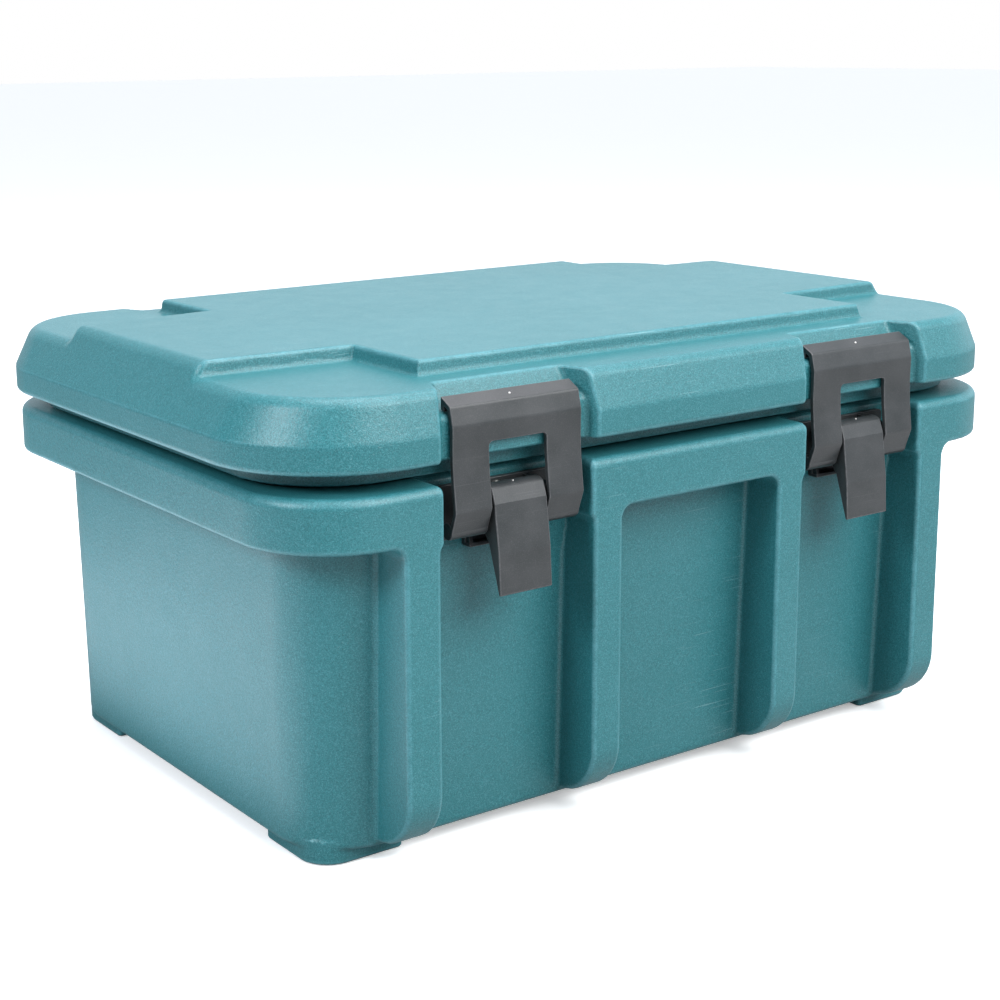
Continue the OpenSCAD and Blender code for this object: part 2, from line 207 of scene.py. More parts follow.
# ---------------------------------------------------------------- meshing a shape
def net(shape, lo, hi, step):
    """A quad skin of the shape inside the box lo..hi, with a point in each cell it crosses."""
    axes = [np.arange(l, h + step, step, dtype=np.float32) for l, h in zip(lo, hi)]
    field = np.empty([len(a) for a in axes], np.float32)
    for k in range(0, len(axes[2]), 8):
        X, Y, Z = np.meshgrid(axes[0], axes[1], axes[2][k : k + 8], indexing="ij")
        field[:, :, k : k + 8] = shape(X, Y, Z)
    inside = field < 0
    corners = [(i, j, k) for i in (0, 1) for j in (0, 1) for k in (0, 1)]
    count = 0
    for c in corners:
        window = tuple(slice(i, size - 1 + i) for i, size in zip(c, inside.shape))
        count = count + inside[window].astype(np.int8)
    active = (count > 0) & (count < 8)
    ids = np.full(active.shape, -1, np.int64)
    cells = np.argwhere(active)
    ids[active] = np.arange(len(cells))

    # each cell's point is the mean of where its edges cross the surface
    total = np.zeros((len(cells), 3))
    weight = np.zeros(len(cells))
    for a in corners:
        for axis in range(3):
            if a[axis]:
                continue
            b = list(a)
            b[axis] = 1
            fa = field[tuple((cells + a).T)].astype(float)
            fb = field[tuple((cells + b).T)].astype(float)
            crosses = (fa < 0) != (fb < 0)
            t = np.where(crosses, fa / np.where(crosses, fa - fb, 1), 0)
            p = np.array(a, float)[None, :].repeat(len(cells), 0)
            p[:, axis] = t
            total += p * crosses[:, None]
            weight += crosses
    points = (cells + total / weight[:, None]) * step + np.array(lo)

    quads = []
    for axis in range(3):
        u, v = (axis + 1) % 3, (axis + 2) % 3
        near = [slice(1, -1)] * 3
        near[axis] = slice(0, -1)
        far = [slice(1, -1)] * 3
        far[axis] = slice(1, None)
        a, b = inside[tuple(near)], inside[tuple(far)]
        flips = np.argwhere(a != b) + [0 if i == axis else 1 for i in range(3)]
        back = inside[tuple(flips.T)]
        du, dv = np.zeros(3, int), np.zeros(3, int)
        du[u], dv[v] = 1, 1
        ring = [flips - du - dv, flips - dv, flips, flips - du]
        q = np.stack([ids[tuple(r.T)] for r in ring], 1)
        q[~back] = q[~back][:, ::-1]
        quads.append(q)
    return points, np.concatenate(quads)


def slope(shape, p, e=0.25):
    """Which way the distance grows at each point."""
    rises = [shape(*(p + d).T) - shape(*(p - d).T) for d in np.eye(3) * e]
    return np.stack(rises, 1) / (2 * e)


def settle(shape, p, rounds=3, most=1.5):
    """Moves the points along the slope until they lie on the surface."""
    for _ in range(rounds):
        g = slope(shape, p)
        f = shape(*p.T)
        move = -f[:, None] * g / np.maximum((g * g).sum(1), 0.05)[:, None]
        size = np.sqrt((move * move).sum(1))[:, None]
        p = p + move * np.minimum(1, most / np.maximum(size, 1e-9))
    return p


BEND_REACH = 1.6


def fitted(name, points, quads, shape, faces_wanted, body):
    """Thins the skin, pulls it back onto the shape and gives it the shape's own normals."""
    mesh = bpy.data.meshes.new(name)
    mesh.from_pydata((points * MM).tolist(), [], quads.tolist())
    whole = bpy.data.objects.new(name, mesh)
    bpy.context.scene.collection.objects.link(whole)
    triangles = 2 * len(quads)
    if triangles > faces_wanted:
        thin = whole.modifiers.new("thin", "DECIMATE")
        thin.ratio = faces_wanted / triangles
        deps = bpy.context.evaluated_depsgraph_get()
        slim = bpy.data.meshes.new_from_object(whole.evaluated_get(deps))
        whole.modifiers.clear()
        whole.data = slim
        bpy.data.meshes.remove(mesh)
        mesh = slim
        mesh.name = name
    p = np.empty(len(mesh.vertices) * 3)
    mesh.vertices.foreach_get("co", p)
    p = settle(shape, p.reshape(-1, 3) / MM, rounds=2)
    mesh.vertices.foreach_set("co", (p * MM).ravel())
    g = slope(shape, p, 0.4)
    normals = g / np.linalg.norm(g, axis=1)[:, None]
    # 'bend' is above 0 on outer edges and below 0 in inner corners
    bend = np.zeros(len(p))
    for d in np.eye(3) * BEND_REACH:
        bend += shape(*(p + d).T) + shape(*(p - d).T)
    bend = np.clip((bend - 6 * shape(*p.T)) / (BEND_REACH * BEND_REACH) * 4, -1, 1)
    kind = mesh.attributes.new("bend", "FLOAT", "POINT")
    kind.data.foreach_set("value", bend.astype(np.float32))
    mesh.polygons.foreach_set("use_smooth", [True] * len(mesh.polygons))
    mesh.normals_split_custom_set_from_vertices(normals.tolist())
    mesh.update()
    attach(whole, body)
    return whole


# ---------------------------------------------------------------- hard pieces
def prism(outline, x0, x1):
    """A closed solid: an outline in (distance out, height) drawn along the length."""
    bm = bmesh.new()
    low = [bm.verts.new((x0, o, z)) for o, z in outline]
    high = [bm.verts.new((x1, o, z)) for o, z in outline]
    n = len(outline)
    bm.faces.new(low)
    bm.faces.new(high[::-1])
    for i in range(n):
        j = (i + 1) % n
        bm.faces.new((low[j], low[i], high[i], high[j]))
    bmesh.ops.recalc_face_normals(bm, faces=bm.faces[:])
    return bm


def board(outline, near_o, far_o):
    """A closed solid: an outline in (length, height) drawn from one distance to another."""
    bm = bmesh.new()
    near = [bm.verts.new((x, near_o, z)) for x, z in outline]
    far = [bm.verts.new((x, far_o, z)) for x, z in outline]
    bm.faces.new(near)
    bm.faces.new(far[::-1])
    for i in range(len(near)):
        j = (i + 1) % len(near)
        bm.faces.new((near[j], near[i], far[i], far[j]))
    bmesh.ops.recalc_face_normals(bm, faces=bm.faces[:])
    return bm


def arc(o, z, r, start, end, steps):
    """Points on a circle in the side plane, angles in degrees from outward to up."""
    angles = [math.radians(start + (end - start) * k / steps) for k in range(steps + 1)]
    return [(o + r * math.cos(a), z + r * math.sin(a)) for a in angles]


CURVE_STEPS = 4


def softened(points, radii):
    """The same outline with each corner turned into a short curve of about that radius."""
    out = []
    for i, (p, r) in enumerate(zip(points, radii)):
        if not r:
            out.append(p)
            continue
        here, last = Vector(p), Vector(points[i - 1])
        following = Vector(points[(i + 1) % len(points)])
        reach = [min(r, 0.45 * (other - here).length) for other in (last, following)]
        start = here + (last - here).normalized() * reach[0]
        end = here + (following - here).normalized() * reach[1]
        for k in range(CURVE_STEPS + 1):
            t = k / CURVE_STEPS
            q = start * (1 - t) ** 2 + here * 2 * t * (1 - t) + end * t * t
            out.append((q.x, q.y))
    return out


def to_object(bm, name):
    mesh = bpy.data.meshes.new(name)
    bm.to_mesh(mesh)
    bm.free()
    piece = bpy.data.objects.new(name, mesh)
    bpy.context.scene.collection.objects.link(piece)
    return piece


def minus(piece, cutter):
    """Takes the cutter out of the piece and throws the cutter away."""
    mod = piece.modifiers.new("cut", "BOOLEAN")
    mod.operation, mod.solver, mod.object = "DIFFERENCE", "EXACT", cutter
    bake(piece)
    bpy.data.objects.remove(cutter)
    bm = bmesh.new()
    bm.from_mesh(piece.data)
    bmesh.ops.dissolve_limit(
        bm, angle_limit=math.radians(1), verts=bm.verts[:], edges=bm.edges[:]
    )
    bm.to_mesh(piece.data)
    bm.free()
    return piece


def bake(piece):
    """Replaces the piece's mesh by what its modifiers make of it."""
    deps = bpy.context.evaluated_depsgraph_get()
    done = bpy.data.meshes.new_from_object(piece.evaluated_get(deps))
    piece.modifiers.clear()
    piece.data = done


def eased_edges(piece, width, segments=3, angle=32):
    """Rounds the edges and marks the rounded faces as 'bend', for paler edges: wear, and on the
    nylon also a painted edge highlight.
    """
    mesh = piece.data
    mesh.materials.clear()
    mesh.materials.append(None)
    mesh.materials.append(None)
    mod = piece.modifiers.new("round", "BEVEL")
    mod.width, mod.segments, mod.limit_method = width, segments, "ANGLE"
    mod.angle_limit = math.radians(angle)
    mod.material = 1
    mod.harden_normals = True
    mod.miter_outer = "MITER_ARC"
    bake(piece)
    mesh = piece.data
    # the bent faces are painted paler: wear, and on the nylon also a painted edge highlight
    wear_and_highlight = mesh.attributes.new("bend", "FLOAT", "CORNER")
    value = np.zeros(len(mesh.loops), np.float32)
    for f in mesh.polygons:
        if f.material_index == 1:
            value[f.loop_start : f.loop_start + f.loop_total] = 1
        f.material_index = 0
    wear_and_highlight.data.foreach_set("value", value)
    mesh.materials.clear()
    return piece


def joined(name, *pieces):
    """One mesh out of several; each keeps its own shading."""
    bpy.ops.object.select_all(action="DESELECT")
    for p in pieces:
        p.select_set(True)
    bpy.context.view_layer.objects.active = pieces[0]
    bpy.ops.object.join()
    whole = pieces[0]
    whole.name = whole.data.name = name
    return whole


ROD_SIDES = 40


def rod(name, o, z, r, x0, x1):
    circle = arc(o, z, r, 0, 360 - 360 / ROD_SIDES, ROD_SIDES - 1)
    return eased_edges(to_object(prism(circle, x0, x1), name), 0.5, 2, 50)


def nub(name, x, o, z, r):
    """The small torn stub that a moulding gate leaves."""
    bm = bmesh.new()
    bmesh.ops.create_icosphere(
        bm, subdivisions=2, radius=r, matrix=Matrix.Translation((x, o, z))
    )
    piece = to_object(bm, name)
    mark = piece.data.attributes.new("stub", "FLOAT", "POINT")
    mark.data.foreach_set("value", np.ones(len(piece.data.vertices), np.float32))
    return piece


# pins of a latch, as (distance out, height)
PIVOT = (209, 230)
KNUCKLE = (209, 213.5)
PIN_R = 2.5
KNUCKLE_R = 5.4
BRACKET_OUT = 193  # outer face of the bracket's plate
HOOK_HALF = 49
LEVER_HALF = 20


def hook_piece():
    outer = softened(
        [(203.5, 295.4), (213, 290.3), (216, 278.3), (215.6, 254), (219, 226.3), (213.4, 210.6)],
        [0, 1.2, 1.4, 16, 1.0, 0],
    )
    inner = softened(
        [
            (210.2, 211.6), (215.7, 226.7), (212.4, 254.4),
            (212.8, 277.9), (210.05, 288.2), (206.5, 290.2),
        ],
        [0, 0.8, 16, 1.2, 0.8, 0],
    )
    outline = outer + inner + [(206.5, 286.4), (203.5, 287.3)]
    plate = to_object(prism(outline, -HOOK_HALF, HOOK_HALF), "hook")
    window = [(-22, 200)] + arc(-19, 263.5, 3, 180, 90, 6) + arc(19, 263.5, 3, 90, 0, 6)
    window = to_object(board(window + [(22, 200)], 190, 240), "window")
    plate = eased_edges(minus(plate, window), 0.6)
    parts = [plate]
    for x0, x1 in ((-48.9, -22.1), (22.1, 48.9)):
        parts.append(rod("knuckle", *KNUCKLE, KNUCKLE_R, x0, x1))
    for x in (-44, -36, 36, 44):
        web = [(205.4, 215.4), (209, 218.8), (214.6, 229), (213.4, 212), (211, 211.2)]
        parts.append(eased_edges(to_object(prism(web, x - 1, x + 1), "web"), 0.25, 2))
    parts.append(nub("gate", 1.5, 208.6, 292.75, 0.75))
    return joined("hook", *parts)


def lever_piece():
    outline = (
        arc(*PIVOT, 9, 185, 48, 20)
        + [(218.3, 227.6), (222.6, 197), (224.1, 171.4), (222.3, 170.8), (212, 202), (206.8, 208.7)]
        + arc(*KNUCKLE, 5.5, 235, 180, 5)
    )
    body = to_object(prism(outline, -LEVER_HALF, LEVER_HALF), "lever")
    hollow = [(185, 220.2), (216.7, 220.2), (219.6, 184), (185, 184)]
    body = minus(body, to_object(prism(hollow, -16.5, 16.5), "hollow"))
    body = eased_edges(body, 0.75)
    stiffener = [(205, 219.8), (216.6, 220.4), (219.5, 184), (217.6, 184), (212.5, 202)]
    rib = eased_edges(to_object(prism(stiffener, -0.9, 0.9), "rib"), 0.25, 2)
    stub = nub("gate", 1, PIVOT[0] + 2.2, PIVOT[1] + 8.75, 0.6)
    return joined("lever", body, rib, stub)


def bracket_piece():
    plate = [
        (-46, 203), (-24, 203), (-24, 197), (24, 197), (24, 203), (46, 203),
        (46, 237.5), (-46, 237.5),
    ]
    plate = board(softened(plate, [3, 1, 2, 2, 1, 3, 3, 3]), 189.05, BRACKET_OUT)
    parts = [eased_edges(to_object(plate, "bracket"), 0.5)]
    lip = to_object(prism([(190, 197), (198, 197), (198, 199.6), (190, 199.6)], -24, 24), "lip")
    parts.append(eased_edges(lip, 0.7))
    ear = [(191, 221.2), (205, 225)] + arc(*PIVOT, 5.5, -110, 110, 16) + [(191, 237)]
    for x0, x1 in ((20.5, 25), (-25, -20.5)):
        parts.append(eased_edges(to_object(prism(ear, x0, x1), "ear"), 0.5))
    for x in (-22, 22):
        gusset = [(192, 199), (197.4, 199), (192, 214)]
        parts.append(eased_edges(to_object(prism(gusset, x - 1.2, x + 1.2), "gusset"), 0.3, 2))
    return joined("bracket", *parts)


def placed(piece, corner, label, body):
    """Turns a latch piece drawn on the rear side to its own corner and scales it to metres."""
    front, left = corner.startswith("front"), corner.endswith("left")
    turn = Matrix.Rotation(math.pi if front else 0, 4, "Z")
    shift = Matrix.Translation((LATCH_X if front == left else -LATCH_X, 0, 0))
    copy = bpy.data.objects.new(f"{label}_{corner}_look", piece.data.copy())
    bpy.context.scene.collection.objects.link(copy)
    copy.data.transform(Matrix.Diagonal((MM, MM, MM, 1)) @ turn @ shift)
    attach(copy, body)
    return copy


# ---------------------------------------------------------------- finishes
def put(tree, kind, links=None, **props):
    """A node with its properties set, and each input either linked or given a value."""
    made = tree.nodes.new(kind)
    for key, value in props.items():
        setattr(made, key, value)
    for socket, value in (links or {}).items():
        target = made.inputs[socket]
        if isinstance(value, bpy.types.NodeSocket):
            tree.links.new(value, target)
        else:
            target.default_value = value
    return made


def new_group(name, inputs, outputs):
    tree = bpy.data.node_groups.new(name, "ShaderNodeTree")
    for label, kind, value in inputs:
        made = tree.interface.new_socket(label, in_out="INPUT", socket_type=kind)
        if value is not None:
            made.default_value = value
    for label, kind in outputs:
        tree.interface.new_socket(label, in_out="OUTPUT", socket_type=kind)
    given = tree.nodes.new("NodeGroupInput").outputs
    return tree, given, tree.nodes.new("NodeGroupOutput").inputs


def noise(tree, where, scale, detail=2.0, rough=0.55):
    links = {"Vector": where, "Scale": scale, "Detail": detail, "Roughness": rough}
    return put(tree, "ShaderNodeTexNoise", links).outputs["Fac"]


def span(tree, value, a, b, lo=0.0, hi=1.0):
    made = put(
        tree,
        "ShaderNodeMapRange",
        {"Value": value, "From Min": a, "From Max": b, "To Min": lo, "To Max": hi},
    )
    return made.outputs["Result"]


def math_node(tree, operation, a, b, clamp=False):
    made = put(tree, "ShaderNodeMath", {0: a, 1: b}, operation=operation, use_clamp=clamp)
    return made.outputs[0]


def blend_colour(tree, how_much, a, b):
    return put(tree, "ShaderNodeMix", {0: how_much, 6: a, 7: b}, data_type="RGBA").outputs[2]


def blend_value(tree, how_much, a, b):
    return put(tree, "ShaderNodeMix", {0: how_much, 2: a, 3: b}, data_type="FLOAT").outputs[0]


FLOAT, VECTOR = "NodeSocketFloat", "NodeSocketVector"


def edge_wear_group():
    """Paler edges: wear, and on the nylon also a painted edge highlight; the bent places of a
    moulding, broken up by two sizes of noise.
    """
    tree, given, out = new_group(
        "edge wear and painted highlight",
        [
            ("Place", VECTOR, None),
            ("Bend", FLOAT, 0.0),
            ("Scale", FLOAT, 180.0),
            ("Reach", FLOAT, 0.5),
        ],
        [("Rubbed and highlit", FLOAT)],
    )
    broad = noise(tree, given["Place"], given["Scale"], 4.0, 0.65)
    fine_scale = math_node(tree, "MULTIPLY", given["Scale"], 6.0)
    fine = noise(tree, given["Place"], fine_scale, 3.0, 0.5)
    broad_part = math_node(tree, "MULTIPLY", broad, 0.65)
    fine_part = math_node(tree, "MULTIPLY", fine, 0.35)
    mixed = math_node(tree, "ADD", broad_part, fine_part)
    start = math_node(tree, "SUBTRACT", 1.0, given["Reach"])
    at_edges = math_node(tree, "MULTIPLY", mixed, given["Bend"])
    edge = put(tree, "ShaderNodeMapRange", {"Value": at_edges, "From Max": 0.62})
    tree.links.new(math_node(tree, "MULTIPLY", start, 0.6), edge.inputs["From Min"])
    tree.links.new(edge.outputs["Result"], out["Rubbed and highlit"])
    return tree


def scuff_group():
    """Fine straight scratches in two directions, only here and there."""
    tree, given, out = new_group(
        "fine scratches",
        [("Place", VECTOR, None), ("Amount", FLOAT, 0.5)],
        [("Scratch", FLOAT)],
    )
    lines = []
    for turn, stretch, scale in (
        ((0.2, 0.5, 0.3), (1, 60, 60), 26.0),
        ((0.9, -0.4, 1.1), (1, 80, 80), 18.0),
    ):
        links = {"Vector": given["Place"], "Rotation": turn, "Scale": stretch}
        bent = put(tree, "ShaderNodeMapping", links)
        thin = noise(tree, bent.outputs[0], scale, 0.0)
        lines.append(span(tree, thin, 0.78, 0.81))
    both = math_node(tree, "MAXIMUM", lines[0], lines[1])
    where = span(tree, noise(tree, given["Place"], 14.0, 2.0), 0.5, 0.68)
    tree.links.new(
        math_node(tree, "MULTIPLY", math_node(tree, "MULTIPLY", both, where), given["Amount"]),
        out["Scratch"],
    )
    return tree


# paler edges: wear, and on the nylon also a painted edge highlight
def worn_edges(tree, place, bend, scale, reach):
    links = {"Place": place, "Bend": bend, "Scale": scale, "Reach": reach}
    return put(tree, "ShaderNodeGroup", links, node_tree=groups["edge wear and painted highlight"]).outputs[0]


def scratches(tree, place, amount):
    links = {"Place": place, "Amount": amount}
    return put(tree, "ShaderNodeGroup", links, node_tree=groups["fine scratches"]).outputs[0]


def start_material(name, rgb):
    """A new material, its tree and shader, the place on the piece and how bent it is there."""
    made = bpy.data.materials.new(name)
    made.use_nodes = True
    made.diffuse_color = (*rgb, 1)
    tree = made.node_tree
    shader = tree.nodes["Principled BSDF"]
    place = put(tree, "ShaderNodeTexCoord").outputs["Object"]
    bend = put(tree, "ShaderNodeAttribute", attribute_name="bend").outputs["Fac"]
    return made, tree, shader, place, bend


def surface(tree, shader, colour, rough, height, depth):
    tree.links.new(colour, shader.inputs["Base Color"])
    tree.links.new(rough, shader.inputs["Roughness"])
    bump = put(tree, "ShaderNodeBump", {"Height": height, "Strength": 1.0, "Distance": depth})
    tree.links.new(bump.outputs[0], shader.inputs["Normal"])


def srgb(r, g, b):
    """A colour given in 0 to 255 screen steps, each above 10, as linear light."""
    return tuple(((c / 255 + 0.055) / 1.055) ** 2.4 for c in (r, g, b)) + (1,)


def speckled_shell(name, dark, mid, light):
    """Rotationally moulded plastic: fine coloured grains, satin, with a pebbled skin."""
    made, tree, shader, place, bend = start_material(name, mid[:3])
    cells = put(tree, "ShaderNodeTexVoronoi", {"Vector": place, "Scale": 1500.0})
    grain = put(tree, "ShaderNodeSeparateColor", {0: cells.outputs["Color"]}).outputs[0]
    fine = noise(tree, place, 1500.0, 2.0, 0.6)
    cloud = noise(tree, place, 9.0, 4.0, 0.55)
    colour = blend_colour(tree, span(tree, fine, 0.38, 0.62), dark, mid)
    colour = blend_colour(tree, span(tree, grain, 0.6, 1.0, 0.0, 0.24), colour, light)
    colour = blend_colour(tree, span(tree, cloud, 0.4, 0.7, 0.0, 0.05), colour, light)
    paler_edges = math_node(tree, "MULTIPLY", worn_edges(tree, place, bend, 120, 0.6), 0.35)
    colour = blend_colour(tree, paler_edges, colour, light)
    scratch = scratches(tree, place, 0.22)
    colour = blend_colour(tree, scratch, colour, srgb(176, 208, 212))
    rough = span(tree, noise(tree, place, 55.0, 3.0), 0.3, 0.75, 0.35, 0.39)
    rough = math_node(tree, "ADD", rough, math_node(tree, "MULTIPLY", fine, 0.08))
    peel = noise(tree, place, 430.0, 2.0)
    fine_part = math_node(tree, "MULTIPLY", fine, 0.4)
    height = math_node(tree, "ADD", fine_part, math_node(tree, "MULTIPLY", peel, 0.6))
    height = math_node(tree, "SUBTRACT", height, math_node(tree, "MULTIPLY", scratch, 0.4))
    surface(tree, shader, colour, rough, height, 0.00032)
    return made


def nylon(name, base, wear_and_highlight):
    """Glass-filled nylon: dark, faintly mottled, paler and smoother where hands rub it; the paler
    edges also carry a painted edge highlight.
    """
    made, tree, shader, place, bend = start_material(name, base[:3])
    fine = noise(tree, place, 1400.0, 3.0, 0.7)
    cloud = noise(tree, place, 40.0, 4.0, 0.6)
    colour = blend_colour(tree, span(tree, cloud, 0.35, 0.7, 0.0, 0.10), base, wear_and_highlight)
    colour = blend_colour(tree, span(tree, fine, 0.5, 0.75, 0.0, 0.20), colour, wear_and_highlight)
    # paler edges: part wear, part painted edge highlight, the light caught on the rounded edges
    # painted into the colour
    paler_edges = math_node(tree, "MULTIPLY", worn_edges(tree, place, bend, 260, 0.5), 0.5)
    colour = blend_colour(tree, paler_edges, colour, wear_and_highlight)
    stub = put(tree, "ShaderNodeAttribute", attribute_name="stub").outputs["Fac"]
    colour = blend_colour(tree, stub, colour, srgb(205, 204, 200))
    scratch = scratches(tree, place, 0.10)
    colour = blend_colour(tree, scratch, colour, srgb(150, 150, 150))
    rough = span(tree, cloud, 0.3, 0.75, 0.27, 0.40)
    rough = math_node(tree, "ADD", rough, math_node(tree, "MULTIPLY", fine, 0.08))
    height = math_node(tree, "SUBTRACT", fine, math_node(tree, "MULTIPLY", scratch, 0.6))
    surface(tree, shader, colour, rough, height, 0.000035)
    return made


def metal(name, base, dull, rough_lo, rough_hi):
    """Drawn metal: fine streaks along the length, tarnished in patches."""
    made, tree, shader, place, bend = start_material(name, base[:3])
    drawn = put(tree, "ShaderNodeMapping", {"Vector": place, "Scale": (1, 14, 14)})
    streak = noise(tree, drawn.outputs[0], 320.0, 3.0)
    tarnish = noise(tree, place, 210.0, 4.0, 0.65)
    colour = blend_colour(tree, span(tree, tarnish, 0.4, 0.72, 0.0, 0.6), base, dull)
    colour = blend_colour(tree, math_node(tree, "MULTIPLY", bend, 0.4), colour, base)
    rough = span(tree, streak, 0.3, 0.7, rough_lo, rough_hi)
    surface(tree, shader, colour, rough, streak, 0.00006)
    shader.inputs["Metallic"].default_value = 1.0
    return made


def soft_finish(name, base, pale, scale, depth, rough):
    """Rubber and foam: a fine pitted skin with a dusty bloom."""
    made, tree, shader, place, bend = start_material(name, base[:3])
    pits = put(tree, "ShaderNodeTexVoronoi", {"Vector": place, "Scale": scale})
    dust = noise(tree, place, scale / 8, 4.0, 0.6)
    colour = blend_colour(tree, span(tree, dust, 0.4, 0.75, 0.0, 0.5), base, pale)
    colour = blend_colour(tree, math_node(tree, "MULTIPLY", bend, 0.25, True), colour, pale)
    roughness = span(tree, dust, 0.3, 0.7, rough, rough + 0.12)
    surface(tree, shader, colour, roughness, pits.outputs["Distance"], depth)
    return made


groups = {"edge wear and painted highlight": edge_wear_group(), "fine scratches": scuff_group()}
finishes = {
    "moulded_shell": speckled_shell(
        "moulded_shell", srgb(22, 86, 91), srgb(42, 112, 118), srgb(96, 156, 166)
    ),
    "latch_nylon": nylon("latch_nylon", srgb(38, 42, 43), srgb(106, 106, 108)),
    "pin_steel": metal("pin_steel", srgb(176, 176, 172), srgb(108, 104, 98), 0.24, 0.42),
    "insert_brass": metal("insert_brass", srgb(196, 160, 92), srgb(128, 98, 54), 0.3, 0.48),
    "seal": soft_finish("seal", srgb(34, 35, 37), srgb(74, 76, 78), 900.0, 0.00012, 0.5),
    "foam_core": soft_finish(
        "foam_core", srgb(216, 205, 170), srgb(236, 228, 202), 500.0, 0.0004, 0.8
    ),
}


def finish_with(piece, slot):
    piece.data.materials.clear()
    piece.data.materials.append(finishes[slot])


# ---------------------------------------------------------------- the screws
def screw_row():
    """Every latch screw, set out by a node tree: one head on each point, turned at random."""
    head = bmesh.new()
    profile = [(1.6, 2.55), (3.2, 2.1), (4.3, 1.1), (4.6, 0.3), (4.6, 0), (2.4, 0), (2.4, -4)]
    around = np.radians(np.arange(0, 360, 15))
    rings = [
        [head.verts.new((r * math.cos(a), h, r * math.sin(a))) for a in around] for r, h in profile
    ]
    for a, b in zip(rings, rings[1:]):
        for i in range(len(around)):
            j = (i + 1) % len(around)
            head.faces.new((a[i], a[j], b[j], b[i]))
    head.faces.new(rings[0])
    head.faces.new(rings[-1][::-1])
    bmesh.ops.recalc_face_normals(head, faces=head.faces[:])
    blank = to_object(head, "screw_blank")
    for turn in (0, 90):
        slot = bmesh.new()
        bmesh.ops.create_cube(
            slot,
            size=1,
            matrix=Matrix.Rotation(math.radians(turn), 4, "Y")
            @ Matrix.Translation((0, 2.4, 0))
            @ Matrix.Diagonal((4.4, 2.6, 0.9, 1)),
        )
        minus(blank, to_object(slot, "slot"))
    eased_edges(blank, 0.12, 2, 35)

    seats = bmesh.new()
    for side in (-1, 1):
        for x in (-LATCH_X, LATCH_X):
            for z in SCREW_Z:
                seats.verts.new((x, side * BRACKET_OUT, z))
    row = to_object(seats, "screw_row")

    tree = bpy.data.node_groups.new("screw set", "GeometryNodeTree")
    face = tree.interface
    face.new_socket("Seats", in_out="INPUT", socket_type="NodeSocketGeometry")
    face.new_socket("Blank", in_out="INPUT", socket_type="NodeSocketObject")
    size = face.new_socket("Size", in_out="INPUT", socket_type="NodeSocketFloat")
    size.default_value = 1
    face.new_socket("Finish", in_out="INPUT", socket_type="NodeSocketMaterial")
    face.new_socket("Geometry", in_out="OUTPUT", socket_type="NodeSocketGeometry")
    given = tree.nodes.new("NodeGroupInput").outputs
    info = put(tree, "GeometryNodeObjectInfo", {"Object": given["Blank"]})
    where = tree.nodes.new("GeometryNodeInputPosition")
    split = put(tree, "ShaderNodeSeparateXYZ", {"Vector": where.outputs[0]})
    is_rear = {0: split.outputs["Y"], 1: 0.0}
    rear = put(tree, "FunctionNodeCompare", is_rear, operation="GREATER_THAN")
    half_turn = {0: rear.outputs[0], 1: -math.pi}
    face_out = put(tree, "ShaderNodeMath", half_turn, operation="MULTIPLY_ADD")
    face_out.inputs[2].default_value = math.pi
    spin = put(tree, "FunctionNodeRandomValue", data_type="FLOAT")
    spin.inputs[2].default_value = 0
    spin.inputs[3].default_value = math.pi
    spin.inputs["Seed"].default_value = 7
    turn = put(tree, "ShaderNodeCombineXYZ", {"Y": spin.outputs[1], "Z": face_out.outputs[0]})
    turned = put(tree, "FunctionNodeEulerToRotation", {0: turn.outputs[0]})
    placed_heads = put(
        tree,
        "GeometryNodeInstanceOnPoints",
        {
            "Points": given["Seats"],
            "Instance": info.outputs["Geometry"],
            "Rotation": turned.outputs[0],
            "Scale": given["Size"],
        },
    )
    real = put(tree, "GeometryNodeRealizeInstances", {0: placed_heads.outputs[0]})
    done = put(tree, "GeometryNodeSetMaterial", {0: real.outputs[0], "Material": given["Finish"]})
    out = tree.nodes.new("NodeGroupOutput")
    tree.links.new(done.outputs[0], out.inputs[0])

    mod = row.modifiers.new("screws", "NODES")
    mod.node_group = tree
    ids = {s.name: s.identifier for s in tree.interface.items_tree if s.in_out == "INPUT"}
    mod[ids["Blank"]] = blank
    mod[ids["Size"]] = 1.0
    mod[ids["Finish"]] = finishes["pin_steel"]
    bake(row)
    bpy.data.objects.remove(blank)
    row.data.transform(Matrix.Diagonal((MM, MM, MM, 1)))
    return row


# ---------------------------------------------------------------- making every piece
GRID_STEP = 2.0


def shell_piece(name, shape, lo, hi, faces_wanted, body, node):
    points, quads = net(shape, lo, hi, GRID_STEP)
    points = settle(shape, points)
    piece = fitted(name, points, quads, shape, faces_wanted, body)
    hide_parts(node)
    finish_with(piece, "moulded_shell")


shell_piece(
    "base_look", base_shape, (-314, -222, -3), (314, 222, 248), 190000, "base", "base_shell"
)
shell_piece("lid_look", lid_shape, (-323, -223, 243), (323, 223, 315), 195000, "lid", "lid_shell")

masters = {
    "hook": (hook_piece(), "hook_{}", "latch_nylon"),
    "lever": (lever_piece(), "lever_{}", "latch_nylon"),
    "bracket": (bracket_piece(), "base", "latch_nylon"),
    "lever_pin": (rod("lever_pin", *PIVOT, PIN_R, -24.9, 24.9), "base", "pin_steel"),
    "hook_pin": (rod("hook_pin", *KNUCKLE, PIN_R, -48.5, 48.5), "lever_{}", "pin_steel"),
}
for label, (master, body, slot) in masters.items():
    for corner in CORNERS:
        piece = placed(master, corner, label, body.format(corner))
        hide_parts(f"{label}_{corner}")
        finish_with(piece, slot)
    bpy.data.objects.remove(master)

screws = screw_row()
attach(screws, "base")
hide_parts(*[f"screws_{c}" for c in CORNERS])

plain = {"base_foam": "foam_core", "lid_foam": "foam_core", "lid_gasket": "seal"}
plain.update({f"inserts_{c}": "insert_brass" for c in CORNERS})
for name, slot in plain.items():
    nodes[name].data.materials.clear()
    nodes[name].data.materials.append(finishes[slot])


